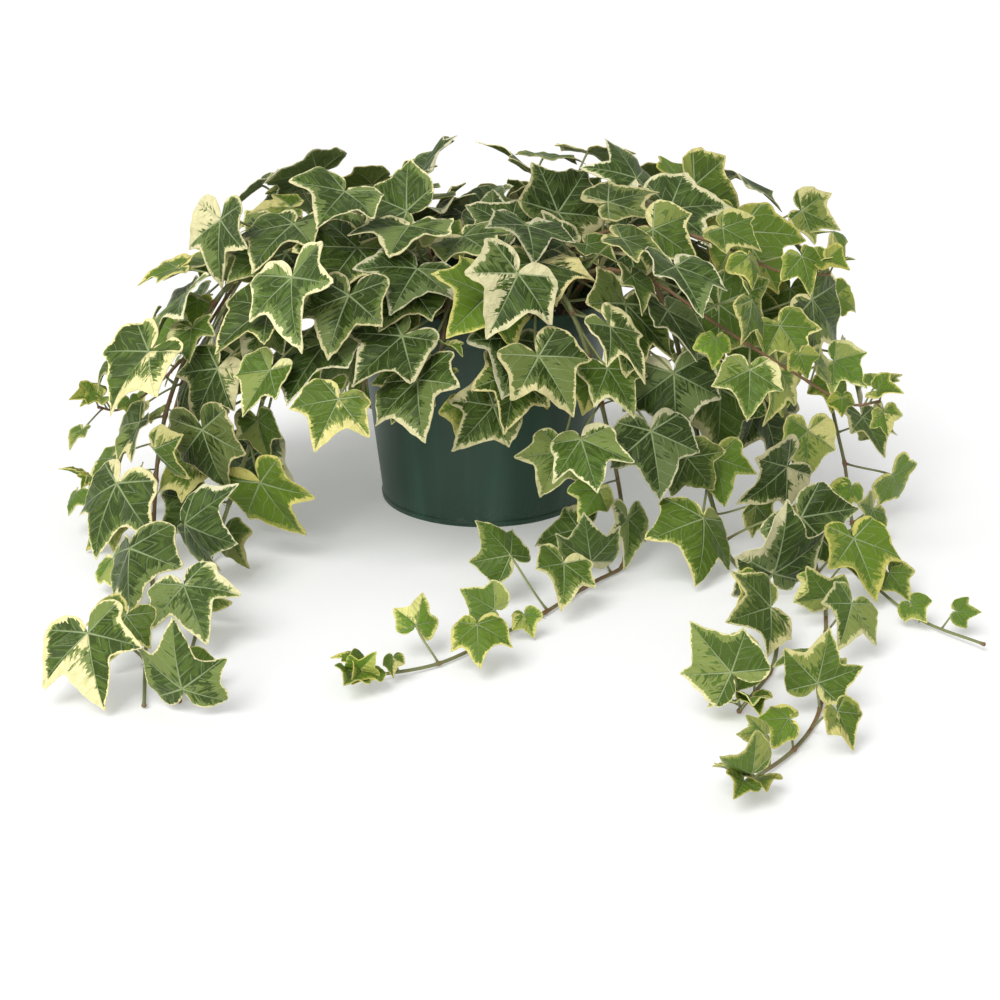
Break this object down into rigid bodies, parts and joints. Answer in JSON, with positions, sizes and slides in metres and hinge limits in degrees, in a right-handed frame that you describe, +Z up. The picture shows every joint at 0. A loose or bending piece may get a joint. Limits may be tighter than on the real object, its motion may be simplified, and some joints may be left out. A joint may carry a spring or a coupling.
{
  "type": "potted variegated english ivy",
  "caption": "Bushy trailing ivy with lobed, cream-edged leaves on slender stems that arch over and past a plain round nursery pot.",
  "frame": {"origin": "centre of the underside of the pot's base", "axes": "+Z up, -Y towards the front, where the longest stems trail towards the viewer, +X to the viewer's right"},
  "size_m": [0.4855, 0.6513, 0.2089],
  "materials": {
    "pot_plastic": "satin",
    "potting_soil": "matte, crumbly",
    "ivy_leafage": "satin, leathery"
  },
  "bodies": {
    "root": {"pot": "pot_plastic", "soil": "potting_soil", "vine_left_inner": "ivy_leafage", "vine_left_outer": "ivy_leafage", "vine_left_arm": "ivy_leafage", "vine_left_low": "ivy_leafage", "vine_centre": "ivy_leafage", "vine_right_inner": "ivy_leafage", "vine_right_outer": "ivy_leafage", "vine_right_far": "ivy_leafage", "vine_right_arm_low": "ivy_leafage", "vine_right_arm_high": "ivy_leafage", "vine_back_left": "ivy_leafage", "vine_back_middle": "ivy_leafage", "vine_back_right": "ivy_leafage", "vine_crown_01": "ivy_leafage", "vine_crown_02": "ivy_leafage", "vine_crown_03": "ivy_leafage", "vine_crown_04": "ivy_leafage", "vine_crown_05": "ivy_leafage", "vine_crown_06": "ivy_leafage", "vine_crown_07": "ivy_leafage", "vine_crown_08": "ivy_leafage", "vine_crown_09": "ivy_leafage", "vine_crown_10": "ivy_leafage", "vine_crown_11": "ivy_leafage", "vine_crown_12": "ivy_leafage", "vine_crown_13": "ivy_leafage"}
  },
  "joints": []
}
